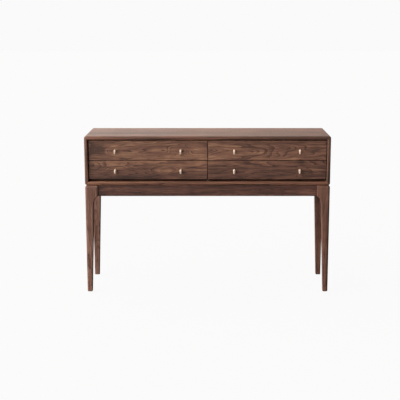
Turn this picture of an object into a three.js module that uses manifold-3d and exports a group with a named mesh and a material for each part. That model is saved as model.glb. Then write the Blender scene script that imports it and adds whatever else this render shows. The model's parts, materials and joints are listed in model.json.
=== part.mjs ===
// A walnut console table: a mitred case with four drawers on a base of four flared legs and four
// aprons. Millimetres, +Z up. X runs along the table, Y from front to back, and the origin lies on
// the floor under the middle of the whole table, knobs included.

import * as THREE from 'three';
import { LoftGeometry } from 'three/addons/geometries/LoftGeometry.js';
import { RoundedBoxGeometry } from 'three/addons/geometries/RoundedBoxGeometry.js';
import { mergeVertices } from 'three/addons/utils/BufferGeometryUtils.js';
import Module from 'manifold-3d';

const wasm = await Module();
wasm.setup();

// ---------------------------------------------------------------------------------------------
// Sizes
// ---------------------------------------------------------------------------------------------

// The whole table, without its knobs
const width = 1200;
const depth = 340;
const height = 780;

// Case
const caseHeight = 241;
const panelThickness = 18;
const caseRound = 10; // outer edges of the case
const openingRound = 5; // inner front edges of the four panels
const mitreGap = 0.3; // glue line in each mitre
const backThickness = 8;
const rebateWidth = 9; // how far the back panel is let into each panel's thickness
const backClearance = 0.5;
const dividerThickness = 18;

// Drawer fronts and the gaps round them
const frontThickness = 18;
const frontRecess = 11; // from the case's front edge back to the drawer fronts
const frontRound = 1.5;
const lowerFrontHeight = 92;
const gapAbove = 4;
const gapBetween = 3;
const gapBelow = 10;
const gapAtEnds = 3;
const gapAtMiddle = 3;

// Drawer boxes behind the fronts
const sideThickness = 12;
const sideGap = 5; // from a drawer side to the case side or the divider
const sideRound = 2; // top edges of a drawer side
const boxRise = 10; // from the front's lower edge up to the sides
const boxDrop = 12; // from the front's upper edge down to the sides
const boxBackGap = 11; // from the drawer box to the case's back panel
const backBoardThickness = 12;
const backBoardDrop = 5; // the back board is this much lower than the sides
const bottomThickness = 5;
const bottomRise = 8; // from the lower edge of the sides up to the drawer's bottom
const bottomBite = 5; // how far the bottom is let into the sides and the front
const dividerSetback = 1; // from the fronts back to the divider
const fitClearance = 0.3; // round what sits in a groove, mortise or hole

// Runners
const runnerHeight = 14;
const runnerBite = 6.5; // how far a runner reaches into its groove
const runnerClearance = 0.5; // from a runner to the floor of its groove
const runnerStop = 0.3; // from the closed drawer front to the runner's end

// Knobs and their screws
const knobInset = 129; // from each end of a drawer front
const knobRadius = 6.6; // round upper end of the drop
const knobTipRadius = 3.4; // round lower end of the drop
const knobDrop = 13.8; // between the centres of those two ends
const knobReach = 14; // from the drawer front out to the drop's own axis
const postRadius = 3.4;
const roseRadius = 5.2;
const roseThickness = 1.6;
const screwRadius = 2;
const screwBite = 8; // how far the screw reaches into the knob
const screwHeadRadius = 4;
const screwHeadHeight = 2.4;
const screwSlotWidth = 1;
const screwSlotDepth = 1.2;
const frontHoleRadius = 2.5;

// Legs
const headSize = 62.5; // side of the square head
const kneeSize = 40.5; // side of the square where the bracket curve meets the taper
const footSize = 25; // side of the square foot
const bracketRadius = 50;
const legRound = 10; // the upright edge on the table's corner
const legTopRound = 12; // outer edges of the head's top
const legInnerRound = 4; // the three other upright edges
const footRound = 3; // edges of the sole

// Aprons and cross rails
const apronHeight = 55;
const apronThickness = 18;
const apronRecess = 9; // from the faces of the legs back to the aprons
const apronRound = 2; // lower edges
const tenonThickness = 8;
const tenonLength = 25;
const tenonShoulder = 10; // above and below a tenon
const railWidth = 40;
const railHeight = 20;
const railInset = 340; // from each end of the table to the middle of a cross rail

// ---------------------------------------------------------------------------------------------
// Places that follow from the sizes
// ---------------------------------------------------------------------------------------------

const frontOverhang = knobReach + knobRadius - frontRecess; // the knobs ahead of the case
const caseFront = (frontOverhang - depth) / 2;
const caseBack = caseFront + depth;
const caseBottom = height - caseHeight;
const innerBack = caseBack - backThickness;
const frontFace = caseFront + frontRecess;
const frontInside = frontFace + frontThickness;

const openingBottom = caseBottom + panelThickness;
const openingTop = height - panelThickness;
const lowerFrontBottom = openingBottom + gapBelow;
const upperFrontBottom = lowerFrontBottom + lowerFrontHeight + gapBetween;
const upperFrontHeight = openingTop - gapAbove - upperFrontBottom;
const frontWidth = width / 2 - panelThickness - gapAtEnds - gapAtMiddle / 2;
const frontCentre = (gapAtMiddle + frontWidth) / 2;

// Each pair of drawers has a bay between the divider and one case side.
const bayInner = dividerThickness / 2;
const bayOuter = width / 2 - panelThickness;
const bayCentre = (bayInner + bayOuter) / 2;
const boxWidth = bayOuter - bayInner - 2 * sideGap;
const boxDepth = innerBack - boxBackGap - frontInside;

const grooveHeight = runnerHeight + 2 * fitClearance;
const runnerThickness = sideGap + runnerBite;
const grooveDepth = runnerBite + runnerClearance;

const apronBottom = caseBottom - apronHeight;

// ---------------------------------------------------------------------------------------------
// Geometry helpers
// ---------------------------------------------------------------------------------------------

// A closed solid from a geometry, with its shared corners merged.
function solidOf(geometry) {
  const bare = new THREE.BufferGeometry();
  bare.setAttribute('position', geometry.attributes.position);
  bare.setIndex(geometry.index);
  const merged = mergeVertices(bare);
  return new wasm.Manifold(new wasm.Mesh({
    numProp: 3,
    vertProperties: new Float32Array(merged.attributes.position.array),
    triVerts: new Uint32Array(merged.index.array),
  }));
}

function geometryOf(solid) {
  const mesh = solid.getMesh();
  const geometry = new THREE.BufferGeometry();
  geometry.setAttribute('position', new THREE.BufferAttribute(mesh.vertProperties, 3));
  geometry.setIndex(new THREE.BufferAttribute(mesh.triVerts, 1));
  geometry.computeVertexNormals();
  return geometry;
}

function join(first, ...others) {
  return geometryOf(others.reduce((sum, other) => sum.add(solidOf(other)), solidOf(first)));
}

function cut(first, ...others) {
  return geometryOf(others.reduce((rest, other) => rest.subtract(solidOf(other)), solidOf(first)));
}

function common(first, ...others) {
  return geometryOf(others.reduce((part, other) => part.intersect(solidOf(other)), solidOf(first)));
}

// A box between two values on each axis.
function box([x0, x1], [y0, y1], [z0, z1]) {
  const geometry = new THREE.BoxGeometry(x1 - x0, y1 - y0, z1 - z0);
  return geometry.translate((x0 + x1) / 2, (y0 + y1) / 2, (z0 + z1) / 2);
}

// A range of the given length round a middle value.
function around(middle, length) {
  return [middle - length / 2, middle + length / 2];
}

function outline(points) {
  return new THREE.Shape(points.map(([a, b]) => new THREE.Vector2(a, b)));
}

function run(shape, length) {
  return new THREE.ExtrudeGeometry(shape, { depth: length, bevelEnabled: false, curveSegments: 4 });
}

// An outline drawn in (Y, Z) and run along X, centred on X = 0.
function runAlongX(shape, length) {
  return run(shape, length).translate(0, 0, -length / 2).rotateX(Math.PI / 2).rotateZ(Math.PI / 2);
}

// An outline drawn in (X, Z) and run along Y from 0 to the given length.
function runAlongY(shape, length) {
  return run(shape, length).rotateX(Math.PI / 2).translate(0, length, 0);
}

// A board with its face in X and Z, its thickness along +Y and all its edges eased.
function easedBoard(boardWidth, boardHeight, thickness, ease) {
  const face = outline([
    [ease - boardWidth / 2, ease],
    [boardWidth / 2 - ease, ease],
    [boardWidth / 2 - ease, boardHeight - ease],
    [ease - boardWidth / 2, boardHeight - ease],
  ]);
  const geometry = new THREE.ExtrudeGeometry(face, {
    depth: thickness - 2 * ease,
    bevelSize: ease,
    bevelThickness: ease,
    bevelSegments: 2,
  });
  return geometry.rotateX(Math.PI / 2).translate(0, thickness - ease, 0);
}

function rod(radius, y0, y1, segments) {
  return new THREE.CylinderGeometry(radius, radius, y1 - y0, segments).translate(0, (y0 + y1) / 2, 0);
}

function walnut(colour) {
  return new THREE.MeshStandardMaterial({ color: colour, roughness: 0.5, metalness: 0 });
}

function paleWood() {
  return new THREE.MeshStandardMaterial({ color: 0xc9a981, roughness: 0.6, metalness: 0 });
}

function brass() {
  return new THREE.MeshStandardMaterial({ color: 0xd9bf98, roughness: 0.3, metalness: 1 });
}

function steel() {
  return new THREE.MeshStandardMaterial({ color: 0xa9adb1, roughness: 0.35, metalness: 1 });
}

function piece(name, geometry, material, x = 0, y = 0, z = 0) {
  const mesh = new THREE.Mesh(geometry, material);
  mesh.name = name;
  mesh.position.set(x, y, z);
  return mesh;
}

// ---------------------------------------------------------------------------------------------
// Case
// ---------------------------------------------------------------------------------------------

// One panel of the case, in the case's own axes: its inner face looks at the middle of the case
// and is turned to its side about Y. The front inner edge is rounded, the back inner edge has the
// rebate for the back panel, the ends are mitred and the outer edges follow the rounded case.
function casePanel(length, reach, turn) {
  const section = new THREE.Shape();
  section.moveTo(openingRound, 0);
  section.lineTo(depth - backThickness, 0);
  section.lineTo(depth - backThickness, rebateWidth);
  section.lineTo(depth, rebateWidth);
  section.lineTo(depth, panelThickness);
  section.lineTo(0, panelThickness);
  section.lineTo(0, openingRound);
  section.absarc(openingRound, openingRound, openingRound, Math.PI, 1.5 * Math.PI, false);

  const mitreSetback = mitreGap / Math.SQRT2;
  const outerEnd = length / 2 - mitreSetback;
  const innerEnd = outerEnd - panelThickness;
  const mitres = runAlongY(outline([
    [-innerEnd, 0],
    [innerEnd, 0],
    [outerEnd, panelThickness],
    [-outerEnd, panelThickness],
  ]), depth);

  const panel = common(runAlongX(section, length), mitres);
  panel.translate(0, 0, reach - panelThickness).rotateY(turn);

  // The rounded body runs on behind the case, so the back edges stay square.
  const bodyDepth = depth + 2 * caseRound;
  const body = new RoundedBoxGeometry(width, bodyDepth, caseHeight, 3, caseRound);
  return common(panel, body.translate(0, bodyDepth / 2, 0));
}

function backPanel() {
  const inset = panelThickness - rebateWidth + backClearance;
  return box(around(0, width - 2 * inset), [0, backThickness], around(0, caseHeight - 2 * inset));
}

function divider() {
  const front = frontRecess + frontThickness + dividerSetback;
  const reach = caseHeight - 2 * panelThickness;
  return box(around(0, dividerThickness), [front, depth - backThickness], around(0, reach));
}

function makeCase() {
  const group = new THREE.Group();
  group.position.set(0, caseFront, caseBottom + caseHeight / 2);
  const upright = caseHeight / 2;
  const along = width / 2;
  group.add(piece('top_panel', casePanel(width, upright, 0), walnut(0x8a7466)));
  group.add(piece('right_side_panel', casePanel(caseHeight, along, Math.PI / 2), walnut(0x6a4e40)));
  group.add(piece('bottom_panel', casePanel(width, upright, Math.PI), walnut(0x6a4c3e)));
  group.add(piece('left_side_panel', casePanel(caseHeight, along, -Math.PI / 2), walnut(0x70543f)));
  group.add(piece('back_panel', backPanel(), walnut(0x5e4436), 0, depth - backThickness));
  group.add(piece('centre_divider', divider(), walnut(0x5a4033)));
  return group;
}

// ---------------------------------------------------------------------------------------------
// Base
// ---------------------------------------------------------------------------------------------

// A square with rounded corners, between two values on both X and Y. The corner at the low values
// is the one on the table's corner.
function legSection(low, high, z) {
  const corners = [
    { x: high - legInnerRound, y: high - legInnerRound, radius: legInnerRound },
    { x: low + legInnerRound, y: high - legInnerRound, radius: legInnerRound },
    { x: low + legRound, y: low + legRound, radius: legRound },
    { x: high - legInnerRound, y: low + legInnerRound, radius: legInnerRound },
  ];
  const steps = 4;
  return corners.flatMap(({ x, y, radius }, quarter) => (
    Array.from({ length: steps + 1 }, (_, step) => {
      const angle = (quarter + step / steps) * Math.PI / 2;
      return new THREE.Vector3(x + radius * Math.cos(angle), y + radius * Math.sin(angle), z);
    })
  ));
}

// A leg with its outer corner at X = Y = 0. Its two outer faces are upright. Its two inner faces
// taper from the foot to the knee, then sweep out in the bracket curve to the square head.
function legBody() {
  const sweep = Math.acos(1 - (headSize - kneeSize) / bracketRadius);
  const kneeHeight = apronBottom - bracketRadius * Math.sin(sweep);
  const taper = (kneeSize - footSize) / kneeHeight;
  const sections = [];
  const roundSteps = 3;
  for (let step = 0; step <= roundSteps; step += 1) {
    const angle = Math.PI / 2 * step / roundSteps;
    const inset = footRound * (1 - Math.sin(angle));
    const z = footRound * (1 - Math.cos(angle));
    sections.push(legSection(inset, footSize + taper * z - inset, z));
  }
  const bracketSteps = 8;
  for (let step = 0; step <= bracketSteps; step += 1) {
    const angle = sweep * step / bracketSteps;
    const side = kneeSize + bracketRadius * (1 - Math.cos(angle));
    sections.push(legSection(0, side, kneeHeight + bracketRadius * Math.sin(angle)));
  }
  const topSteps = 4;
  for (let step = 0; step <= topSteps; step += 1) {
    const angle = Math.PI / 2 * step / topSteps;
    const outer = legTopRound * (1 - Math.cos(angle));
    sections.push(legSection(outer, headSize, caseBottom - legTopRound * (1 - Math.sin(angle))));
  }
  return new LoftGeometry(sections, { capStart: true, capEnd: true });
}

// The head has a mortise in each of its two inner faces, one for each apron that meets it.
function leg() {
  const inward = [headSize - tenonLength - fitClearance, headSize + 1];
  const across = around(apronRecess + apronThickness / 2, tenonThickness + 2 * fitClearance);
  const low = apronBottom + tenonShoulder - fitClearance;
  const high = caseBottom - tenonShoulder + fitClearance;
  return cut(legBody(), box(inward, across, [low, high]), box(across, inward, [low, high]));
}

// An apron with its outer face at Y = 0, its lower edges rounded and a tenon on each end.
function apron(length) {
  const section = new THREE.Shape();
  section.moveTo(apronRound, 0);
  section.lineTo(apronThickness - apronRound, 0);
  section.absarc(apronThickness - apronRound, apronRound, apronRound, -Math.PI / 2, 0, false);
  section.lineTo(apronThickness, apronHeight);
  section.lineTo(0, apronHeight);
  section.lineTo(0, apronRound);
  section.absarc(apronRound, apronRound, apronRound, Math.PI, 1.5 * Math.PI, false);
  const tenons = box(
    around(0, length + 2 * tenonLength),
    around(apronThickness / 2, tenonThickness),
    [tenonShoulder, apronHeight - tenonShoulder],
  );
  return join(runAlongX(section, length), tenons);
}

function crossRail() {
  const inside = apronRecess + apronThickness;
  return box(around(0, railWidth), [inside, depth - inside], [0, railHeight]);
}

function makeBase() {
  const group = new THREE.Group();
  const sides = [
    { leg: 'front_left', apron: 'front', x: -width / 2, y: caseFront, length: width },
    { leg: 'front_right', apron: 'right', x: width / 2, y: caseFront, length: depth },
    { leg: 'back_right', apron: 'back', x: width / 2, y: caseBack, length: width },
    { leg: 'back_left', apron: 'left', x: -width / 2, y: caseBack, length: depth },
  ];
  sides.forEach((side, quarter) => {
    // Each corner of the base is the one before it, turned by a right angle.
    const corner = new THREE.Group();
    corner.position.set(side.x, side.y, 0);
    corner.rotation.z = quarter * Math.PI / 2;
    corner.add(piece(`${side.leg}_leg`, leg(), walnut(0x654839)));
    const board = piece(`${side.apron}_apron`, apron(side.length - 2 * headSize), walnut(0x553e36));
    board.position.set(side.length / 2, apronRecess, apronBottom);
    corner.add(board);
    group.add(corner);
  });
  const railAt = width / 2 - railInset;
  const railBottom = caseBottom - railHeight;
  group.add(piece('left_cross_rail', crossRail(), paleWood(), -railAt, caseFront, railBottom));
  group.add(piece('right_cross_rail', crossRail(), paleWood(), railAt, caseFront, railBottom));
  return group;
}

// ---------------------------------------------------------------------------------------------
// Knobs
// ---------------------------------------------------------------------------------------------

// A knob, with the middle of its rose at the origin and its post along -Y. The drop hangs from the
// post: a turned body on an upright axis, between a larger round end and a smaller one.
function knob() {
  const slope = Math.asin((knobRadius - knobTipRadius) / knobDrop);
  const profile = new THREE.Path();
  profile.absarc(0, -knobDrop, knobTipRadius, -Math.PI / 2, -slope, false);
  profile.absarc(0, 0, knobRadius, -slope, Math.PI / 2, false);
  const points = profile.getPoints(4);
  points[0].x = 0;
  points[points.length - 1].x = 0;
  const drop = new THREE.LatheGeometry(points, 16).rotateX(Math.PI / 2).translate(0, -knobReach, 0);
  const post = rod(postRadius, -knobReach, 0, 12);
  const rose = rod(roseRadius, -roseThickness, 0, 12);
  const hole = rod(screwRadius + fitClearance, -screwBite - fitClearance, 1, 12);
  return cut(join(drop, post, rose), hole);
}

// A screw along Y, with the seat of its head at the origin and a crossed slot in the head.
function knobScrew() {
  const shank = frontThickness + screwBite;
  const profile = [
    [0, -shank],
    [screwRadius - 0.5, -shank],
    [screwRadius, 0.5 - shank],
    [screwRadius, 0],
    [screwHeadRadius, 0],
    [screwHeadRadius, 0.4 * screwHeadHeight],
    [0.7 * screwHeadRadius, 0.9 * screwHeadHeight],
    [0, screwHeadHeight],
  ];
  const body = new THREE.LatheGeometry(profile.map(([r, y]) => new THREE.Vector2(r, y)), 12);
  const across = around(0, screwSlotWidth);
  const along = around(0, 1.2 * screwHeadRadius);
  const down = [screwHeadHeight - screwSlotDepth, screwHeadHeight + 1];
  return cut(body, box(across, down, along), box(along, down, across));
}

// ---------------------------------------------------------------------------------------------
// Drawers and their runners
// ---------------------------------------------------------------------------------------------

// A drawer's own axes have X = 0 at the middle of its front, Y = 0 at the front's face and Z = 0 at
// the front's lower edge. boxCentre is where the middle of the box behind it lies on X.
const slot = [boxRise + bottomRise, boxRise + bottomRise + bottomThickness];
const bottomWidth = boxWidth - 2 * (sideThickness - bottomBite + fitClearance);
const knobAt = frontWidth / 2 - knobInset;

function drawerFront(frontHeight, boxCentre) {
  const board = easedBoard(frontWidth, frontHeight, frontThickness, frontRound);
  const groove = box(
    around(boxCentre, bottomWidth + 2 * fitClearance),
    [frontThickness - bottomBite, frontThickness + 1],
    [slot[0], slot[1] + fitClearance],
  );
  const holes = [-knobAt, knobAt].map((x) => (
    rod(frontHoleRadius, -1, frontThickness + 1, 12).translate(x, 0, frontHeight / 2)
  ));
  return cut(board, groove, ...holes);
}

// A side with its outer face at X = 0 and its thickness along +X, run from Y = 0.
function drawerSide(boxHeight) {
  const [grooveLow, grooveHigh] = around(boxHeight / 2, grooveHeight);
  const slotTop = bottomRise + bottomThickness + fitClearance;
  const top = boxHeight - sideRound;
  const section = outline([
    [0, 0],
    [sideThickness, 0],
    [sideThickness, bottomRise],
    [sideThickness - bottomBite, bottomRise],
    [sideThickness - bottomBite, slotTop],
    [sideThickness, slotTop],
  ]);
  section.absarc(sideThickness - sideRound, top, sideRound, 0, Math.PI / 2, false);
  section.absarc(sideRound, top, sideRound, Math.PI / 2, Math.PI, false);
  section.lineTo(0, grooveHigh);
  section.lineTo(grooveDepth, grooveHigh);
  section.lineTo(grooveDepth, grooveLow);
  section.lineTo(0, grooveLow);
  return runAlongY(section, boxDepth);
}

function drawerBackBoard(boxHeight) {
  const ends = [frontThickness + boxDepth - backBoardThickness, frontThickness + boxDepth];
  const top = boxRise + boxHeight - backBoardDrop;
  return box(around(0, boxWidth - 2 * sideThickness), ends, [slot[1], top]);
}

function drawerBottom() {
  return box(
    around(0, bottomWidth),
    [frontThickness - bottomBite + fitClearance, frontThickness + boxDepth],
    slot,
  );
}

function makeDrawer(name, side, frontBottom, frontHeight) {
  const group = new THREE.Group();
  group.position.set(side * frontCentre, frontFace, frontBottom);
  const boxHeight = frontHeight - boxRise - boxDrop;
  const boxCentre = side * (bayCentre - frontCentre);
  const leftAt = boxCentre - boxWidth / 2;
  const rightAt = boxCentre + boxWidth / 2;
  const left = drawerSide(boxHeight);
  const right = drawerSide(boxHeight).rotateZ(Math.PI).translate(0, boxDepth, 0);
  group.add(piece(`${name}_drawer_front`, drawerFront(frontHeight, boxCentre), walnut(0x735546)));
  group.add(piece(`${name}_drawer_left_side`, left, paleWood(), leftAt, frontThickness, boxRise));
  group.add(piece(`${name}_drawer_right_side`, right, paleWood(), rightAt, frontThickness, boxRise));
  group.add(piece(`${name}_drawer_back`, drawerBackBoard(boxHeight), paleWood(), boxCentre));
  group.add(piece(`${name}_drawer_bottom`, drawerBottom(), paleWood(), boxCentre));
  for (const [end, x] of [['left', -knobAt], ['right', knobAt]]) {
    const middle = frontHeight / 2;
    group.add(piece(`${name}_drawer_${end}_knob`, knob(), brass(), x, 0, middle));
    group.add(piece(`${name}_drawer_${end}_knob_screw`, knobScrew(), steel(), x, frontThickness, middle));
  }
  return group;
}

// Two runners for each drawer: the outer one on the case side, the inner one on the divider.
function makeRunners(name, side, frontBottom, frontHeight) {
  const group = new THREE.Group();
  const boxHeight = frontHeight - boxRise - boxDrop;
  const middle = frontBottom + boxRise + boxHeight / 2;
  const run = [frontInside + runnerStop, innerBack];
  const runner = () => box(around(0, runnerThickness), run, around(middle, runnerHeight));
  const outerAt = side * (bayOuter - runnerThickness / 2);
  const innerAt = side * (bayInner + runnerThickness / 2);
  group.add(piece(`${name}_outer_runner`, runner(), paleWood(), outerAt));
  group.add(piece(`${name}_inner_runner`, runner(), paleWood(), innerAt));
  return group;
}

// ---------------------------------------------------------------------------------------------
// The table
// ---------------------------------------------------------------------------------------------

const table = new THREE.Group();
table.add(makeCase());
table.add(makeBase());

const rows = [
  ['upper', upperFrontBottom, upperFrontHeight],
  ['lower', lowerFrontBottom, lowerFrontHeight],
];
for (const [row, frontBottom, frontHeight] of rows) {
  for (const [column, side] of [['left', -1], ['right', 1]]) {
    table.add(makeDrawer(`${row}_${column}`, side, frontBottom, frontHeight));
    table.add(makeRunners(`${row}_${column}`, side, frontBottom, frontHeight));
  }
}

export default table;
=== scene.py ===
import json
import math

import bmesh
import bpy
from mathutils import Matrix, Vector

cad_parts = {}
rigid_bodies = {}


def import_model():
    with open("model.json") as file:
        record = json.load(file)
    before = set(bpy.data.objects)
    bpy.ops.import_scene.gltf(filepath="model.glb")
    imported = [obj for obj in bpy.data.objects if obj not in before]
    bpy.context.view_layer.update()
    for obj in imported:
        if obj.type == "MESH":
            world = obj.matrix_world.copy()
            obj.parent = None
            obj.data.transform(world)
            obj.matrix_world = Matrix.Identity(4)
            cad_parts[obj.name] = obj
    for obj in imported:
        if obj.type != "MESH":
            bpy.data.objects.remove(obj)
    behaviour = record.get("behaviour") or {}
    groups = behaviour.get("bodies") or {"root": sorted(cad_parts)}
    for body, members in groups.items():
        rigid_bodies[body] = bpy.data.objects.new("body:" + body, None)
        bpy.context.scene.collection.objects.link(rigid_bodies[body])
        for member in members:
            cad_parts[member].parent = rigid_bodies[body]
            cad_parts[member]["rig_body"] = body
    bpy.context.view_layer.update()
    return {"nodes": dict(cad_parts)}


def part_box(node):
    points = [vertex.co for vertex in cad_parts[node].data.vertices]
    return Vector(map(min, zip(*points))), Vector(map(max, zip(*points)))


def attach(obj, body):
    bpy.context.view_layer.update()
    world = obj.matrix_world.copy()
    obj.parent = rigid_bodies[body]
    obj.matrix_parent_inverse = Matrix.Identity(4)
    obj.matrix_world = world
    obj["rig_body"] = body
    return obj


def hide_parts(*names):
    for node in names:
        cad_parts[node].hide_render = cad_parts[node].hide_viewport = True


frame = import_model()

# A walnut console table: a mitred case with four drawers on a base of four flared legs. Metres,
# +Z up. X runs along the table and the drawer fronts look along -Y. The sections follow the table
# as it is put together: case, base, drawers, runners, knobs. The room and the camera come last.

nodes = frame["nodes"]


# ---- Case panels -----------------------------------------------------------------------------
# The top, the bottom and the two sides of the case are 18 mm solid walnut, each glued up from four
# staves. Their ends are mitred and glued, so that the grain runs on round the corners, and the
# outside is rounded after the glue-up. The wood is sanded fine and finished with a satin oil.

CASE_EASE = 0.0006
STAVE = 0.085
STAVE_SHIFT = 1.37  # how far along the tree the next stave was cut
CASE_SHADES = ("#462a1c", "#714734", "#946349")
BOTTOM_SHADES = ("#472c1e", "#734b38", "#97684f")
RIGHT_SIDE_SHADES = ("#422b1f", "#6b4939", "#8d6650")


def put(tree, kind, inputs=(), **settings):
    """A shader node with its settings. An input is a value or another node's output."""
    node = tree.nodes.new("ShaderNode" + kind)
    for name, setting in settings.items():
        setattr(node, name, setting)
    for name, source in dict(inputs).items():
        if isinstance(source, bpy.types.NodeSocket):
            tree.links.new(source, node.inputs[name])
        else:
            node.inputs[name].default_value = source
    return node


def number(tree, operation, *terms, clamp=False):
    node = put(tree, "Math", dict(enumerate(terms)), operation=operation, use_clamp=clamp)
    return node.outputs[0]


def vector(tree, operation, *terms):
    node = put(tree, "VectorMath", dict(enumerate(terms)), operation=operation)
    return node.outputs["Value" if operation in {"LENGTH", "DOT_PRODUCT"} else "Vector"]


def at(tree, x=0.0, y=0.0, z=0.0):
    return put(tree, "CombineXYZ", {"X": x, "Y": y, "Z": z}).outputs[0]


def between(tree, source, low, high):
    """0 below low, 1 above high, and a soft step in between."""
    span = {"Value": source, "From Min": low, "From Max": high}
    return put(tree, "MapRange", span, interpolation_type="SMOOTHSTEP").outputs["Result"]


def blend_colours(tree, share, first, second):
    node = tree.nodes.new("ShaderNodeMix")
    node.data_type = "RGBA"
    by_kind = {socket.identifier: socket for socket in node.inputs}
    wanted = {"Factor_Float": share, "A_Color": first, "B_Color": second}
    for identifier, source in wanted.items():
        if isinstance(source, bpy.types.NodeSocket):
            tree.links.new(source, by_kind[identifier])
        else:
            by_kind[identifier].default_value = source
    return next(socket for socket in node.outputs if socket.identifier == "Result_Color")


def noise(tree, place, stretch, detail=2.0, roughness=0.5):
    """Noise on a place that is stretched by a number of waves per metre on each axis."""
    waves = vector(tree, "MULTIPLY", place, stretch)
    settings = {"Vector": waves, "Scale": 1.0, "Detail": detail, "Roughness": roughness}
    return put(tree, "TexNoise", settings)


def shade(code):
    """A linear colour from a hex code."""
    parts = [int(code[start:start + 2], 16) / 255 for start in (1, 3, 5)]
    linear = [((part + 0.055) / 1.055) ** 2.4 if part > 0.04 else part / 12.92 for part in parts]
    return (*linear, 1.0)


def shader_group(name, inputs, outputs):
    """A node group. An input's kind follows from its first value: number, vector or colour."""
    tree = bpy.data.node_groups.new(name, "ShaderNodeTree")
    for socket_name, first in inputs.items():
        kind = {1: "Float", 3: "Vector", 4: "Color"}[len(first) if isinstance(first, tuple) else 1]
        kind = "NodeSocket" + kind
        socket = tree.interface.new_socket(socket_name, in_out="INPUT", socket_type=kind)
        socket.default_value = first
    for socket_name, kind in outputs.items():
        tree.interface.new_socket(socket_name, in_out="OUTPUT", socket_type="NodeSocket" + kind)
    return tree, tree.nodes.new("NodeGroupInput").outputs, tree.nodes.new("NodeGroupOutput").inputs


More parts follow.
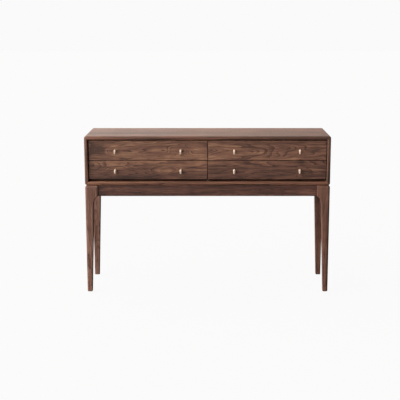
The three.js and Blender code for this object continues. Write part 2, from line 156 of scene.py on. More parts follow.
def make_walnut_figure():
    """Walnut cut from a log whose growth rings lie round its heart. X runs along the grain. The
    rings wander as the trunk grew, and bulge round two knots. Colours run in bands along them."""
    tree, given, out = shader_group("Walnut figure", {
        "Place": (0.0, 0.0, 0.0),
        "Stave": 10.0,
        "Seed": 0.0,
        "Heart": (0.0, 0.08, 0.0),
        "Lean": 0.0,
        "Ring width": 0.004,
        "Wander": 0.02,
        "Grain length": 1.0,
        "First knot": (0.0, 0.0, 0.0),
        "First knot size": (0.08, 0.05, 0.03),
        "First knot pull": 0.0,
        "First knot tone": 0.0,
        "Second knot": (0.0, 0.0, 0.0),
        "Second knot size": (0.08, 0.05, 0.03),
        "Second knot pull": 0.0,
        "Second knot tone": 0.0,
        "Tone": 0.0,
        "Fade": (0.0, 0.0, 0.0),
        "Dark shade": (0.05, 0.03, 0.02, 1.0),
        "Middle shade": (0.15, 0.08, 0.05, 1.0),
        "Light shade": (0.3, 0.18, 0.12, 1.0),
    }, {"Color": "Color", "Roughness": "Float", "Height": "Float"})

    # A wide panel is glued up from staves, each one cut from further along the tree
    sideways = put(tree, "SeparateXYZ", {0: given["Place"]}).outputs["Y"]
    stave = number(tree, "ADD", number(tree, "DIVIDE", sideways, given["Stave"]), 0.5)
    stave = number(tree, "FLOOR", stave)
    back = at(tree, STAVE_SHIFT, number(tree, "MULTIPLY", given["Stave"], -1.0))
    back = put(tree, "VectorMath", {0: back, "Scale": stave}, operation="SCALE").outputs["Vector"]
    spot = vector(tree, "ADD", given["Place"], back)

    # Where the wood at this spot stood before the trunk wandered
    drawn_out = at(tree, number(tree, "DIVIDE", 1.0, given["Grain length"]), 1.0, 1.0)
    shift = vector(tree, "MULTIPLY", given["Seed"], (7.31, 3.17, 5.73))
    place = vector(tree, "MULTIPLY", vector(tree, "ADD", spot, shift), drawn_out)
    stray = noise(tree, place, (2.4, 9.0, 12.0), detail=3.0, roughness=0.45).outputs["Color"]
    sideways = vector(tree, "SUBTRACT", stray, (0.5, 0.5, 0.5))
    sideways = vector(tree, "MULTIPLY", sideways, (0.0, 1.0, 1.0))
    sideways = put(tree, "VectorMath", {0: sideways, "Scale": given["Wander"]}, operation="SCALE")
    grown = vector(tree, "ADD", spot, sideways.outputs["Vector"])

    # Distance from the heart, plus the bulge round each knot
    trunkwise = put(tree, "SeparateXYZ", {0: grown}).outputs["X"]
    leant = number(tree, "MULTIPLY", trunkwise, given["Lean"])
    heart = vector(tree, "ADD", given["Heart"], at(tree, y=leant))
    across = vector(tree, "SUBTRACT", grown, heart)
    reach = vector(tree, "LENGTH", vector(tree, "MULTIPLY", across, (0.0, 1.0, 1.0)))
    knot_tone = 0.0
    # A knot's tone darkens or lightens the wood round it. On the top panel one darkens the right
    # end of the front stave, as painted shade.
    for knot in ("First knot", "Second knot"):
        away = vector(tree, "SUBTRACT", grown, given[knot])
        away = vector(tree, "LENGTH", vector(tree, "DIVIDE", away, given[knot + " size"]))
        away = number(tree, "POWER", away, 1.6)
        bulge = number(tree, "EXPONENT", number(tree, "MULTIPLY", away, -1.0))
        reach = number(tree, "MULTIPLY_ADD", bulge, given[knot + " pull"], reach)
        knot_tone = number(tree, "MULTIPLY_ADD", bulge, given[knot + " tone"], knot_tone)
    ring = number(tree, "DIVIDE", reach, given["Ring width"])

    # Colour bands of a few rings each, which change slowly along the trunk. Each one darkens
    # towards its outer side and ends in a sharp line.
    along = put(tree, "SeparateXYZ", {0: place}).outputs["X"]
    trunk = at(tree, ring, along, given["Seed"])
    bands = noise(tree, trunk, (0.09, 1.5, 3.1), detail=3.0, roughness=0.5).outputs["Fac"]
    count = number(tree, "MULTIPLY_ADD", bands, 18.0, number(tree, "MULTIPLY", ring, 0.36))
    band = number(tree, "FRACT", count)
    vein = number(tree, "POWER", band, 3.0)
    year = number(tree, "FRACT", number(tree, "ADD", ring, bands))
    late = number(tree, "POWER", year, 3.0)

    # Streaks, fine fibres and pores, all drawn out along the grain
    streak = vector(tree, "MULTIPLY", grown, drawn_out)
    streak = noise(tree, streak, (5.5, 120.0, 120.0), detail=5.0, roughness=0.6).outputs["Fac"]
    fibre = noise(tree, grown, (9.0, 420.0, 420.0), detail=3.0, roughness=0.6).outputs["Fac"]
    dashes = noise(tree, grown, (85.0, 2600.0, 2600.0), detail=1.0).outputs["Fac"]
    pore = between(tree, dashes, 0.6, 0.7)
    curl = noise(tree, place, (22.0, 4.0, 6.0), detail=3.0).outputs["Fac"]

    tone = number(tree, "MULTIPLY_ADD", bands, 0.9, 0.15)
    for part, share in ((streak, 1.6), (fibre, 0.6), (curl, 0.35)):
        tone = number(tree, "MULTIPLY_ADD", number(tree, "SUBTRACT", part, 0.5), share, tone)
    # A slope of tone across the board, set per board. On the legs and the case panels it is painted
    # light: lighter where more light falls, darker where less does.
    tone = number(tree, "ADD", tone, vector(tree, "DOT_PRODUCT", given["Place"], given["Fade"]))
    tone = number(tree, "ADD", tone, number(tree, "ADD", knot_tone, given["Tone"]))
    part_of_tree = number(tree, "SINE", number(tree, "MULTIPLY", stave, 2.3))
    tone = number(tree, "MULTIPLY_ADD", part_of_tree, 0.1, tone)
    for part, share in ((vein, -0.6), (late, -0.14), (pore, -0.22)):
        tone = number(tree, "MULTIPLY_ADD", part, share, tone)
    tone = number(tree, "MAXIMUM", tone, 0.0)
    dark, middling, light = (given[part + " shade"] for part in ("Dark", "Middle", "Light"))
    colour = blend_colours(tree, between(tree, tone, 0.0, 0.5), dark, middling)
    colour = blend_colours(tree, between(tree, tone, 0.45, 1.0), colour, light)

    gloss = number(tree, "MULTIPLY_ADD", tone, -0.07, 0.5)
    tree.links.new(colour, out["Color"])
    tree.links.new(number(tree, "MULTIPLY_ADD", pore, 0.2, gloss), out["Roughness"])
    relief = number(tree, "MULTIPLY_ADD", pore, -0.7, number(tree, "MULTIPLY", fibre, 0.6))
    tree.links.new(number(tree, "MULTIPLY_ADD", late, -0.1, relief), out["Height"])
    return tree


def make_edge_wear():
    """How far a place has been rubbed by hands and cloths: edges more than faces, and unevenly."""
    inputs = {"Reach": 0.0015, "Strength": 1.0}
    tree, given, out = shader_group("Edge wear", inputs, {"Wear": "Float"})
    rounded = put(tree, "Bevel", {"Radius": given["Reach"]}, samples=4).outputs["Normal"]
    facing = put(tree, "NewGeometry").outputs["Normal"]
    edge = number(tree, "SUBTRACT", 1.0, vector(tree, "DOT_PRODUCT", rounded, facing))
    place = put(tree, "TexCoord").outputs["Object"]
    patchy = noise(tree, place, (22.0, 22.0, 22.0), detail=3.0).outputs["Fac"]
    edge = between(tree, edge, 0.01, 0.22)
    worn = number(tree, "MULTIPLY", edge, between(tree, patchy, 0.3, 0.6))
    tree.links.new(number(tree, "MULTIPLY", worn, given["Strength"]), out["Wear"])
    return tree


walnut_figure = make_walnut_figure()
edge_wear = make_edge_wear()

ALONG_X = (0.0, 0.0, 0.0)
ALONG_Y = (0.0, 0.0, -math.pi / 2)
ALONG_Z = (0.0, math.pi / 2, 0.0)


def placed(tree, group, **values):
    """A shader node group put into a material, with the material's own values."""
    node = tree.nodes.new("ShaderNodeGroup")
    node.node_tree = group
    for socket_name, value in values.items():
        node.inputs[socket_name.replace("_", " ").capitalize()].default_value = value
    return node


def grained_wood(name, cut, grain, middle, rubbed, wear, relief, roughness=0.0, **figure):
    """Wood with its grain along an axis, measured from a middle place. Its edges are rubbed."""
    material = bpy.data.materials.new(name)
    material.use_nodes = True
    tree = material.node_tree
    surface = tree.nodes["Principled BSDF"]
    place = put(tree, "TexCoord").outputs["Object"]
    centred = put(tree, "Mapping", {"Vector": place, "Location": [-value for value in middle]})
    turned = put(tree, "Mapping", {"Vector": centred.outputs[0], "Rotation": grain})
    cut = placed(tree, cut, **figure)
    tree.links.new(turned.outputs[0], cut.inputs["Place"])

    worn = placed(tree, edge_wear, strength=wear).outputs["Wear"]
    colour = blend_colours(tree, worn, cut.outputs["Color"], shade(rubbed))
    tree.links.new(colour, surface.inputs["Base Color"])
    rough = number(tree, "ADD", cut.outputs["Roughness"], roughness)
    rough = number(tree, "MULTIPLY_ADD", worn, -0.1, rough)
    tree.links.new(rough, surface.inputs["Roughness"])
    bump = {"Height": cut.outputs["Height"], "Strength": relief, "Distance": 0.0002}
    tree.links.new(put(tree, "Bump", bump).outputs["Normal"], surface.inputs["Normal"])
    surface.inputs["IOR"].default_value = 1.47
    return material


def walnut(name, grain, shades, middle=(0.0, 0.0, 0.0), **figure):
    """Oiled walnut in a dark, a middle and a light shade."""
    dark, middling, light = (shade(code) for code in shades)
    return grained_wood(
        name, walnut_figure, grain, middle, rubbed="#a98a72", wear=0.35, relief=0.25,
        dark_shade=dark, middle_shade=middling, light_shade=light, **figure,
    )


def even_shading(piece):
    evened = piece.modifiers.new("Even shading", "WEIGHTED_NORMAL")
    evened.keep_sharp = True


def board(node, material, ease):
    """A board with the CAD node's shape. Its sharp edges are eased, except those of a mitre."""
    mesh = bpy.data.meshes.new(node)
    shape = bmesh.new()
    shape.from_mesh(nodes[node].data)
    bmesh.ops.remove_doubles(shape, verts=shape.verts, dist=1e-6)
    flat, sharp = math.radians(0.3), math.radians(35)
    bmesh.ops.dissolve_limit(shape, angle_limit=flat, verts=shape.verts, edges=shape.edges)
    eased = shape.edges.layers.float.new("bevel_weight_edge")
    for face in shape.faces:
        face.smooth = True
    for edge in shape.edges:
        if edge.calc_face_angle(0.0) < sharp:
            continue
        slanted = any(max(abs(part) for part in face.normal) < 0.8 for face in edge.link_faces)
        edge.smooth = not slanted
        edge[eased] = 0.0 if slanted else 1.0
    shape.to_mesh(mesh)
    shape.free()
    piece = bpy.data.objects.new(node + "_wood", mesh)
    bpy.context.scene.collection.objects.link(piece)
    mesh.materials.append(material)
    if ease:
        rounding = piece.modifiers.new("Eased edges", "BEVEL")
        rounding.limit_method = "WEIGHT"
        rounding.width = ease
        rounding.segments = 2
        merged = piece.modifiers.new("Merged corners", "WELD")
        merged.merge_threshold = 1e-5
    even_shading(piece)
    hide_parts(node)
    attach(piece, nodes[node]["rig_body"])


# The front stave of the top, two staves from the middle one, is darker towards its right end, and
# the slopes darken the top and the bottom towards their right ends: painted shade where the light
# falls off to the right. The slopes also make the top face a little lighter than its front edge,
# painted light from above, and all four panels lighter towards the back.
front_stave = Vector((0.4 - 2 * STAVE_SHIFT, -STAVE / 2, 0.0))
CASE_FIGURES = {
    "top_panel": dict(
        grain=ALONG_X, shades=CASE_SHADES, seed=1.0, tone=-0.15, fade=(-0.08, 0.6, 5.0),
        first_knot=front_stave, first_knot_size=(0.35, 0.015, 0.05), first_knot_tone=-0.3,
    ),
    "bottom_panel": dict(
        grain=ALONG_X, shades=BOTTOM_SHADES, seed=1.3, tone=0.2, fade=(-0.3, 0.6, 0.0),
    ),
    "left_side_panel": dict(
        grain=ALONG_Z, shades=CASE_SHADES, seed=2.0, tone=-0.3, fade=(0.0, 0.6, 0.0),
    ),
    "right_side_panel": dict(
        grain=ALONG_Z, shades=RIGHT_SIDE_SHADES, seed=2.4, fade=(0.0, 0.6, 0.0),
    ),
}
for panel, figure in CASE_FIGURES.items():
    low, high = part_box(panel)
    panel_middle = (low + high) / 2 + Vector((0.0, STAVE / 2, 0.0))
    panel_wood = walnut(
        "walnut_" + panel, middle=panel_middle, stave=STAVE, heart=(0.0, 0.01, 0.035),
        ring_width=0.003, wander=0.03, grain_length=2.2, **figure,
    )
    board(panel, panel_wood, CASE_EASE)


# ---- Case back and divider -------------------------------------------------------------------
# The back is an 8 mm walnut-faced panel let into a rebate all round the case. The divider stands
# on the bottom between the two pairs of drawers and carries their inner runners.

BACK_SHADES = ("#3a241b", "#5d3f31", "#7a5644")
BACK_FIGURE = dict(ring_width=0.005, wander=0.04, grain_length=2.2, roughness=0.12)
back_wood = walnut(
    "walnut_back", ALONG_X, BACK_SHADES, seed=3.0, heart=(0.0, 0.02, 1.3), **BACK_FIGURE,
)
board("back_panel", back_wood, ease=0.0004)


def make_pale_grain():
    """Plain straight-grained pale hardwood, X along the grain."""
    tree, given, out = shader_group("Pale grain", {
        "Place": (0.0, 0.0, 0.0),
        "Dark shade": (0.4, 0.3, 0.2, 1.0),
        "Light shade": (0.6, 0.45, 0.3, 1.0),
    }, {"Color": "Color", "Roughness": "Float", "Height": "Float"})
    place = given["Place"]
    growth = noise(tree, place, (2.2, 30.0, 38.0), detail=4.0, roughness=0.6).outputs["Fac"]
    fibre = noise(tree, place, (9.0, 520.0, 520.0), detail=3.0, roughness=0.6).outputs["Fac"]
    flecks = noise(tree, place, (60.0, 900.0, 900.0), detail=1.0).outputs["Fac"]
    fleck = between(tree, flecks, 0.6, 0.72)
    tone = number(tree, "MULTIPLY_ADD", fibre, 0.5, number(tree, "MULTIPLY", growth, 0.6))
    tone = number(tree, "MULTIPLY_ADD", fleck, -0.15, tone, clamp=True)
    pale = between(tree, tone, 0.3, 0.8)
    colour = blend_colours(tree, pale, given["Dark shade"], given["Light shade"])
    tree.links.new(colour, out["Color"])
    tree.links.new(number(tree, "MULTIPLY_ADD", fleck, 0.1, 0.55), out["Roughness"])
    tree.links.new(number(tree, "MULTIPLY_ADD", fleck, -0.4, fibre), out["Height"])
    return tree


pale_grain = make_pale_grain()


def pale_wood(name, grain, shades):
    """Plain lacquered hardwood in a dark and a light shade."""
    dark, light = (shade(code) for code in shades)
    return grained_wood(
        name, pale_grain, grain, (0.0, 0.0, 0.0), rubbed="#e6d3b4", wear=0.3, relief=0.2,
        dark_shade=dark, light_shade=light,
    )


INNER_SHADES = ("#93714c", "#bd9a70")
inner_wood = pale_wood("plain_hardwood", ALONG_Y, INNER_SHADES)
divider_wood = walnut(
    "walnut_divider", ALONG_Y, BACK_SHADES, seed=3.5, heart=(0.0, 0.9, 0.4), **BACK_FIGURE,
)
board("centre_divider", divider_wood, ease=0.0005)


# ---- Legs ------------------------------------------------------------------------------------
# Each leg is one piece of solid walnut with upright grain. Its head is square and takes the
# apron tenons. Below the aprons its two inner faces sweep in and taper down to a small square foot.

LEG = {
    "Head": 0.0625,
    "Knee": 0.0405,
    "Foot": 0.025,
    "Bracket radius": 0.05,
    "Outer round": 0.01,
    "Inner round": 0.004,
    "Top round": 0.012,
    "Sole round": 0.003,
}


def geometry_tree(name, inputs):
    """A geometry tree with its inputs. A first value of None asks for a material."""
    tree = bpy.data.node_groups.new(name, "GeometryNodeTree")
    for socket_name, first in inputs.items():
        kind = "Material" if first is None else "Vector" if isinstance(first, tuple) else "Float"
        kind = "NodeSocket" + kind
        socket = tree.interface.new_socket(socket_name, in_out="INPUT", socket_type=kind)
        if first is not None:
            socket.default_value = first
    tree.interface.new_socket("Geometry", in_out="OUTPUT", socket_type="NodeSocketGeometry")
    return tree, tree.nodes.new("NodeGroupInput").outputs, tree.nodes.new("NodeGroupOutput").inputs


def step(tree, kind, inputs=(), **settings):
    """The first output of a geometry node with its settings and inputs."""
    node = tree.nodes.new("GeometryNode" + kind)
    for name, setting in settings.items():
        setattr(node, name, setting)
    for name, source in dict(inputs).items():
        if isinstance(source, bpy.types.NodeSocket):
            tree.links.new(source, node.inputs[name])
        else:
            node.inputs[name].default_value = source
    return node.outputs[0]


def joined(tree, *parts):
    """The parts as one geometry, with their points in this order. The last link comes first."""
    node = tree.nodes.new("GeometryNodeJoinGeometry")
    for part in reversed(parts):
        tree.links.new(part, node.inputs[0])
    return node.outputs[0]


def arc(tree, radius, start, sweep, centre, points=9):
    """Part of a circle. X is the distance from the axis and Y is the height."""
    ends = {"Resolution": points, "Radius": radius, "Start Angle": start, "Sweep Angle": sweep}
    curve = step(tree, "CurveArc", ends, mode="RADIUS")
    return step(tree, "Transform", {"Geometry": curve, "Translation": centre})


def rows_of(tree, outline, around):
    """A closed sleeve with one ring of points for each point of the outline, from top to bottom.
    Gives the sleeve, each ring's outline point and each point's number round its ring."""
    points = step(tree, "CurveToMesh", {"Curve": outline})
    count = step(tree, "AttributeDomainSize", {"Geometry": points})
    sleeve = {"Vertices": around, "Side Segments": number(tree, "SUBTRACT", count, 1.0)}
    sleeve = step(tree, "MeshCylinder", sleeve)
    index = step(tree, "InputIndex")
    row = number(tree, "DIVIDE", number(tree, "ADD", index, 0.5), float(around))
    row = number(tree, "FLOOR", row)
    place = {"Geometry": points, "Value": step(tree, "InputPosition"), "Index": row}
    outline_point = step(tree, "SampleIndex", place, data_type="FLOAT_VECTOR")
    spot = number(tree, "SUBTRACT", index, number(tree, "MULTIPLY", row, float(around)))
    return sleeve, outline_point, spot


def creased(tree, shape, angle):
    """The shape with smooth shading, except at edges sharper than an angle in degrees."""
    sharp = number(tree, "GREATER_THAN", step(tree, "InputMeshEdgeAngle"), math.radians(angle))
    shape = step(tree, "SetShadeSmooth", {"Geometry": shape})
    edges = {"Geometry": shape, "Selection": sharp, "Shade Smooth": False}
    return step(tree, "SetShadeSmooth", edges, domain="EDGE")


def make_legs():
    """Four legs, each made for the corner at X = Y = 0 and turned to its own corner. A point of the
    outline holds the inner side of the square at X, the height at Y and the outer side at Z."""
    sizes = {**LEG, "Apron bottom": 0.5, "Top": 0.55, "Material": None}
    sizes.update({"Middle": (0.0, 0.0, 0.0), "Half size": (0.6, 0.17, 0.0)})
    tree, given, out = geometry_tree("Flared legs", sizes)
    quarter = math.pi / 2
    to_first_corner = math.radians(225)

    # From the rounded top down the head, round the bracket curve to the knee, and to the sole
    top = arc(tree, given["Top round"], quarter, quarter, at(tree))
    below = number(tree, "SUBTRACT", given["Top"], given["Top round"])
    turn = {"Geometry": top, "Rotation": (0.0, -quarter, 0.0)}
    turn["Translation"] = at(tree, given["Head"], below, given["Top round"])
    top = step(tree, "Transform", turn)
    flare = number(tree, "SUBTRACT", given["Head"], given["Knee"])
    flare = number(tree, "SUBTRACT", 1.0, number(tree, "DIVIDE", flare, given["Bracket radius"]))
    sweep = number(tree, "ARCCOSINE", flare)
    rise = number(tree, "MULTIPLY", given["Bracket radius"], number(tree, "SINE", sweep))
    centre = number(tree, "ADD", given["Knee"], given["Bracket radius"])
    centre = at(tree, centre, number(tree, "SUBTRACT", given["Apron bottom"], rise))
    start = number(tree, "SUBTRACT", math.pi, sweep)
    bracket = arc(tree, given["Bracket radius"], start, sweep, centre, points=17)
    sole = arc(tree, given["Sole round"], math.pi, quarter, at(tree))
    inset = number(tree, "SUBTRACT", given["Foot"], given["Sole round"])
    turn = {"Scale": (math.sqrt(2), 1.0, 1.0), "Rotation": (0.0, to_first_corner, 0.0)}
    turn["Translation"] = at(tree, inset, given["Sole round"], given["Sole round"])
    sole = step(tree, "Transform", {"Geometry": sole, **turn})

    # A rounded square at each height, with a larger round on the outer corner
    corner_points = 7
    sleeve, outline_point, spot = rows_of(tree, joined(tree, top, bracket, sole), 4 * corner_points)
    corner = number(tree, "DIVIDE", number(tree, "ADD", spot, 0.5), float(corner_points))
    corner = number(tree, "FLOOR", corner)
    along = number(tree, "SUBTRACT", spot, number(tree, "MULTIPLY", corner, float(corner_points)))
    turns = number(tree, "ADD", corner, number(tree, "DIVIDE", along, corner_points - 1.0))
    angle = number(tree, "MULTIPLY", turns, quarter)
    outer = number(tree, "COMPARE", corner, 2.0, 0.1)
    growth = number(tree, "SUBTRACT", given["Outer round"], given["Inner round"])
    radius = number(tree, "MULTIPLY_ADD", outer, growth, given["Inner round"])
    side = put(tree, "SeparateXYZ", {0: outline_point}).outputs
    from_middle = number(tree, "ABSOLUTE", number(tree, "SUBTRACT", corner, 1.5))
    ends = {
        "X": number(tree, "GREATER_THAN", from_middle, 1.0),
        "Y": number(tree, "LESS_THAN", corner, 1.5),
    }
    reach = {}
    for axis, wave in (("X", "COSINE"), ("Y", "SINE")):
        inner = number(tree, "MULTIPLY", ends[axis], number(tree, "SUBTRACT", side["X"], radius))
        far = number(tree, "SUBTRACT", 1.0, ends[axis])
        outward = number(tree, "MULTIPLY", far, number(tree, "ADD", side["Z"], radius))
        rounded = number(tree, "MULTIPLY", radius, number(tree, wave, angle))
        reach[axis] = number(tree, "ADD", rounded, number(tree, "ADD", inner, outward))
    place = at(tree, reach["X"], reach["Y"], side["Y"])
    leg = step(tree, "SetPosition", {"Geometry": sleeve, "Position": place})

    corners = step(tree, "MeshCircle", {"Vertices": 4, "Radius": math.sqrt(2)})
    turn = {"Geometry": corners, "Rotation": (0.0, 0.0, to_first_corner)}
    corners = step(tree, "Transform", turn)
    spread = {"Geometry": corners, "Scale": given["Half size"], "Translation": given["Middle"]}
    corners = step(tree, "Transform", spread)
    turns = number(tree, "MULTIPLY", step(tree, "InputIndex"), quarter)
    turned_legs = {"Points": corners, "Instance": leg, "Rotation": at(tree, z=turns)}
    legs = step(tree, "RealizeInstances", {"Geometry": step(tree, "InstanceOnPoints", turned_legs)})
    legs = {"Geometry": creased(tree, legs, angle=40), "Material": given["Material"]}
    tree.links.new(step(tree, "SetMaterial", legs), out[0])
    return tree


def grow(name, tree, **settings):
    """A plain mesh object of what a geometry tree makes with these inputs."""
    piece = bpy.data.objects.new(name, bpy.data.meshes.new(name))
    bpy.context.scene.collection.objects.link(piece)
    maker = piece.modifiers.new(tree.name, "NODES")
    maker.node_group = tree
    for socket_name, setting in settings.items():
        socket_name = socket_name.replace("_", " ").capitalize()
        maker[tree.interface.items_tree[socket_name].identifier] = setting
    bpy.context.view_layer.update()
    grown = piece.evaluated_get(bpy.context.evaluated_depsgraph_get())
    mesh = bpy.data.meshes.new_from_object(grown)
    piece.modifiers.remove(maker)
    piece.data = mesh
    mesh.name = name
    return piece


# The legs' slope is painted light: the left legs are lighter, on the side the light comes from, and
# each leg darkens towards its foot, where less light reaches. Their light shade is greyer, a
# painted sheen on the lit left legs.
leg_wood = walnut(
    "walnut_leg", ALONG_Z, ("#4d2f23", "#714b3b", "#8f6b5b"),
    seed=4.0, heart=(0.0, 0.9, 0.35), ring_width=0.0018, wander=0.008, tone=-0.1,
    fade=(0.35, 0.0, 0.22),
)
front_left = Vector(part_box("front_left_leg")[0])
back_right = Vector(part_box("back_right_leg")[1])
base_middle = (front_left + back_right) / 2
base_half = (back_right - front_left) / 2
legs = grow(
    "flared_legs", make_legs(), material=leg_wood,
    apron_bottom=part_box("front_apron")[0].z, top=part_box("front_left_leg")[1].z,
    middle=(base_middle.x, base_middle.y, 0.0), half_size=(base_half.x, base_half.y, 1.0),
)
even_shading(legs)
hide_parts("front_left_leg", "front_right_leg", "back_right_leg", "back_left_leg")
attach(legs, nodes["front_left_leg"]["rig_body"])


# ---- Aprons and cross rails ------------------------------------------------------------------
# Four walnut aprons are tenoned into the heads of the legs, a little behind their faces. Two
# plain rails cross between the long aprons, and the case is screwed down through them.

# The apron shades are darker than the rest of the walnut: partly the wood's own colour, partly
# painted shade where the aprons sit back under the case.
APRON_SHADES = ("#2b160f", "#4f3025", "#764e3f")
apron_along = walnut(
    "walnut_apron_long", ALONG_X, APRON_SHADES,
    seed=5.0, heart=(0.0, 0.3, 0.9), ring_width=0.002, wander=0.01,
)
apron_deep = walnut(
    "walnut_apron_short", ALONG_Y, APRON_SHADES,
    seed=6.0, heart=(0.0, 0.9, 0.9), ring_width=0.002, wander=0.01,
)
for side in ("front", "back"):
    board(side + "_apron", apron_along, ease=0.0005)
for side in ("left", "right"):
    board(side + "_apron", apron_deep, ease=0.0005)
for side in ("left", "right"):
    board(side + "_cross_rail", inner_wood, ease=0.0008)


# ---- Drawer fronts ---------------------------------------------------------------------------
# Each front is one flat-sawn walnut board with lively figure, eased on all its edges. It is glued
# and screwed to its box and sits in the opening with an even gap round it.

# The lower fronts' shades are darker than the upper ones. Each front's slope darkens it towards the
# outer end of the table, the upper fronts towards their tops and the lower ones towards their
# bottoms.
UPPER_SHADES = ("#4c3124", "#78513f", "#a07759")
LOWER_SHADES = ("#3c251b", "#664334", "#8f654c")
FRONT_FIGURES = {
    "upper_left": dict(
        shades=UPPER_SHADES, tone=0.04, fade=(0.4, 0.0, -1.5),
        seed=37.0, heart=(0.0, 0.04, 0.012), lean=-0.03, wander=0.04,
        first_knot=(0.155, 0.0, 0.0), first_knot_size=(0.035, 0.03, 0.014),
        first_knot_pull=0.028, first_knot_tone=-0.3,
        second_knot=(-0.27, 0.0, 0.0), second_knot_size=(0.07, 0.05, 0.04),
        second_knot_pull=0.01, second_knot_tone=-0.4,
    ),
    "upper_right": dict(
        shades=UPPER_SHADES, tone=-0.09, fade=(-0.4, 0.0, -1.5),
        seed=50.0, heart=(0.0, 0.04, 0.0), lean=0.07, wander=0.03,
        first_knot=(0.06, 0.0, 0.0), first_knot_size=(0.06, 0.04, 0.02),
        first_knot_pull=0.012,
        second_knot=(0.2, 0.0, 0.01), second_knot_size=(0.07, 0.05, 0.02),
        second_knot_pull=0.008, second_knot_tone=-0.15,
    ),
    "lower_left": dict(
        shades=LOWER_SHADES, fade=(0.5, 0.0, 6.0),
        seed=31.0, heart=(0.0, 0.04, 0.02), lean=0.03, wander=0.04,
        first_knot=(0.08, 0.0, -0.005), first_knot_size=(0.05, 0.05, 0.014),
        first_knot_pull=-0.025, first_knot_tone=0.55,
        second_knot=(-0.16, 0.0, 0.0), second_knot_size=(0.06, 0.05, 0.02),
        second_knot_pull=0.012,
    ),
    "lower_right": dict(
        shades=LOWER_SHADES, tone=-0.07, fade=(-0.3, 0.0, 4.0),
        seed=36.0, heart=(0.0, 0.05, 0.03), lean=-0.03, wander=0.035,
        first_knot=(0.16, 0.0, -0.015), first_knot_size=(0.035, 0.05, 0.016),
        first_knot_pull=0.02,
        second_knot=(-0.1, 0.0, 0.0), second_knot_size=(0.16, 0.05, 0.03),
        second_knot_pull=0.006,
    ),
}
for drawer, figure in FRONT_FIGURES.items():
    front = drawer + "_drawer_front"
    low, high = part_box(front)
    face_middle = ((low.x + high.x) / 2, low.y, (low.z + high.z) / 2)
    front_wood = walnut(
        "walnut_front_" + drawer, ALONG_X, middle=face_middle, ring_width=0.0026, **figure,
    )
    board(front, front_wood, ease=0.0)


# ---- Drawer boxes ----------------------------------------------------------------------------
# The boxes are pale lacquered hardwood: two grooved sides that slide on the runners, a lower back
# board between them, and a thin bottom let into grooves all round.

BOX_SHADES = ("#b8946a", "#dcc19a")
box_sides = pale_wood("box_wood_sides", ALONG_Y, BOX_SHADES)
box_cross = pale_wood("box_wood_cross", ALONG_X, BOX_SHADES)
for drawer in FRONT_FIGURES:
    for side in ("left", "right"):
        board(f"{drawer}_drawer_{side}_side", box_sides, ease=0.0005)
    board(drawer + "_drawer_back", box_cross, ease=0.0008)
    board(drawer + "_drawer_bottom", box_cross, ease=0.0003)


# ---- Runners ---------------------------------------------------------------------------------
# A hardwood runner on each side of each drawer, glued to the case side or the divider. It fits
# the groove in the drawer side and holds the drawer level when it is pulled out.

for drawer in FRONT_FIGURES:
    for side in ("outer", "inner"):
        board(f"{drawer}_{side}_runner", inner_wood, ease=0.0006)


# ---- Knobs -----------------------------------------------------------------------------------
# Each knob is a small solid brass drop that hangs from a short post with a round foot, turned,
# brushed and left pale. Every drawer has two of them, each set well in from an end.

KNOB = {
    "Round radius": 0.006,
    "Tip radius": 0.0046,
    "Drop": 0.0116,
    "Hang": 0.001,
    "Reach": 0.0146,
    "Post radius": 0.0034,
    "Foot radius": 0.0052,
    "Foot thickness": 0.0016,
    "Rim": 0.0006,
}


def turned(tree, outline, around=40):
    """The outline, given from top to bottom, spun round the Z axis."""
    sleeve, outline_point, spot = rows_of(tree, outline, around)
    part = put(tree, "SeparateXYZ", {0: outline_point}).outputs
    angle = number(tree, "MULTIPLY", spot, 2 * math.pi / around)
    x = number(tree, "MULTIPLY", part["X"], number(tree, "COSINE", angle))
    y = number(tree, "MULTIPLY", part["X"], number(tree, "SINE", angle))
    spun = step(tree, "SetPosition", {"Geometry": sleeve, "Position": at(tree, x, y, part["Y"])})
    return step(tree, "MergeByDistance", {"Geometry": spun, "Distance": 1e-6})


def side_by_side(tree, piece, place, apart):
    """Two of the piece, one on each side of a place."""
    first = vector(tree, "SUBTRACT", place, at(tree, number(tree, "MULTIPLY", apart, 0.5)))
    places = {"Count": 2, "Start Location": first, "Offset": at(tree, apart)}
    places = step(tree, "MeshLine", places)
    pair = step(tree, "InstanceOnPoints", {"Points": places, "Instance": piece})
    return step(tree, "RealizeInstances", {"Geometry": pair})


